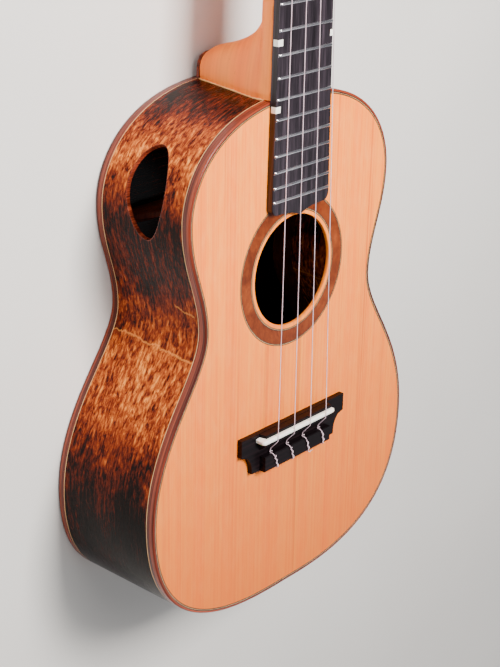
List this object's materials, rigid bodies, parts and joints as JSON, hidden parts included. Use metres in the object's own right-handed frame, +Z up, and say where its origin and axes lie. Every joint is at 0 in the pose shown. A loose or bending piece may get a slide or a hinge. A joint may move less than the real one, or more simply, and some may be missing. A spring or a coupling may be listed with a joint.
{
  "type": "tenor ukulele",
  "caption": "Small hollow-bodied four-string plucked lute with a side sound port, tie bridge, fretted neck, carved heel and geared side tuners.",
  "frame": {"origin": "centre of the whole instrument's footprint, on the plane of its flat back, as it lies on a table", "axes": "+Z up out of the soundboard, +Y along the neck towards the head, +X towards the treble side"},
  "size_m": [0.2256, 0.6762, 0.0865],
  "materials": {
    "spruce": "satin",
    "figured_wood": "gloss",
    "rosewood": "gloss",
    "neck_wood": "satin",
    "ebony": "satin",
    "bone": "polished bone",
    "fret_wire": "polished nickel silver",
    "nylon": "clear nylon",
    "gear_brass": "polished",
    "tuner_steel": "polished",
    "rosette_wood": "gloss",
    "lining_wood": "bare"
  },
  "bodies": {
    "instrument": {"back_plate": "figured_wood", "binding_back": "rosewood", "binding_top": "rosewood", "brace_back_lower": "lining_wood", "brace_back_upper": "lining_wood", "brace_fan_bass": "lining_wood", "brace_fan_treble": "lining_wood", "brace_top_lower": "lining_wood", "brace_top_upper": "lining_wood", "bridge": "ebony", "fret_01": "fret_wire", "fret_02": "fret_wire", "fret_03": "fret_wire", "fret_04": "fret_wire", "fret_05": "fret_wire", "fret_06": "fret_wire", "fret_07": "fret_wire", "fret_08": "fret_wire", "fret_09": "fret_wire", "fret_10": "fret_wire", "fret_11": "fret_wire", "fret_12": "fret_wire", "fret_13": "fret_wire", "fret_14": "fret_wire", "fret_15": "fret_wire", "fret_16": "fret_wire", "fret_17": "fret_wire", "fret_18": "fret_wire", "fret_19": "fret_wire", "fret_20": "fret_wire", "fretboard": "ebony", "heel_cap": "rosewood", "lining_back_bass": "lining_wood", "lining_back_treble": "lining_wood", "lining_top_bass": "lining_wood", "lining_top_treble": "lining_wood", "neck": "neck_wood", "neck_block": "lining_wood", "nut": "bone", "rosette": "rosette_wood", "saddle": "bone", "side_bass": "figured_wood", "side_treble": "figured_wood", "soundboard": "spruce", "string_1": "nylon", "string_2": "nylon", "string_3": "nylon", "string_4": "nylon", "tail_block": "lining_wood", "tuner_plate_bass": "tuner_steel", "tuner_plate_treble": "tuner_steel"},
    "knob_bass_1": {"tuner_knob_bass_1": "tuner_steel"},
    "post_bass_1": {"tuner_post_bass_1": "gear_brass"},
    "knob_bass_2": {"tuner_knob_bass_2": "tuner_steel"},
    "post_bass_2": {"tuner_post_bass_2": "gear_brass"},
    "knob_treble_1": {"tuner_knob_treble_1": "tuner_steel"},
    "post_treble_1": {"tuner_post_treble_1": "gear_brass"},
    "knob_treble_2": {"tuner_knob_treble_2": "tuner_steel"},
    "post_treble_2": {"tuner_post_treble_2": "gear_brass"}
  },
  "joints": [
    {"name": "knob_bass_1_turn", "type": "hinge", "parent": "instrument", "child": "knob_bass_1", "pos_m": [-0.0145, 0.23638, 0.03345], "axis": [1, 0, 0], "continuous": true},
    {"name": "post_bass_1_turn", "type": "hinge", "parent": "instrument", "child": "post_bass_1", "pos_m": [-0.0145, 0.24256, 0.03187], "axis": [0, 0.2468, 0.9691], "continuous": true},
    {"name": "knob_bass_2_turn", "type": "hinge", "parent": "instrument", "child": "knob_bass_2", "pos_m": [-0.0145, 0.2829, 0.0216], "axis": [1, 0, 0], "continuous": true},
    {"name": "post_bass_2_turn", "type": "hinge", "parent": "instrument", "child": "post_bass_2", "pos_m": [-0.0145, 0.28907, 0.02003], "axis": [0, 0.2468, 0.9691], "continuous": true},
    {"name": "knob_treble_1_turn", "type": "hinge", "parent": "instrument", "child": "knob_treble_1", "pos_m": [0.0145, 0.23638, 0.03345], "axis": [1, 0, 0], "continuous": true},
    {"name": "post_treble_1_turn", "type": "hinge", "parent": "instrument", "child": "post_treble_1", "pos_m": [0.0145, 0.24256, 0.03187], "axis": [0, 0.2468, 0.9691], "continuous": true},
    {"name": "knob_treble_2_turn", "type": "hinge", "parent": "instrument", "child": "knob_treble_2", "pos_m": [0.0145, 0.2829, 0.0216], "axis": [1, 0, 0], "continuous": true},
    {"name": "post_treble_2_turn", "type": "hinge", "parent": "instrument", "child": "post_treble_2", "pos_m": [0.0145, 0.28907, 0.02003], "axis": [0, 0.2468, 0.9691], "continuous": true}
  ],
  "couplings": [
    {"joint": "post_bass_1_turn", "follows": "knob_bass_1_turn", "ratio": -0.076923},
    {"joint": "post_bass_2_turn", "follows": "knob_bass_2_turn", "ratio": -0.076923},
    {"joint": "post_treble_1_turn", "follows": "knob_treble_1_turn", "ratio": -0.076923},
    {"joint": "post_treble_2_turn", "follows": "knob_treble_2_turn", "ratio": -0.076923}
  ]
}
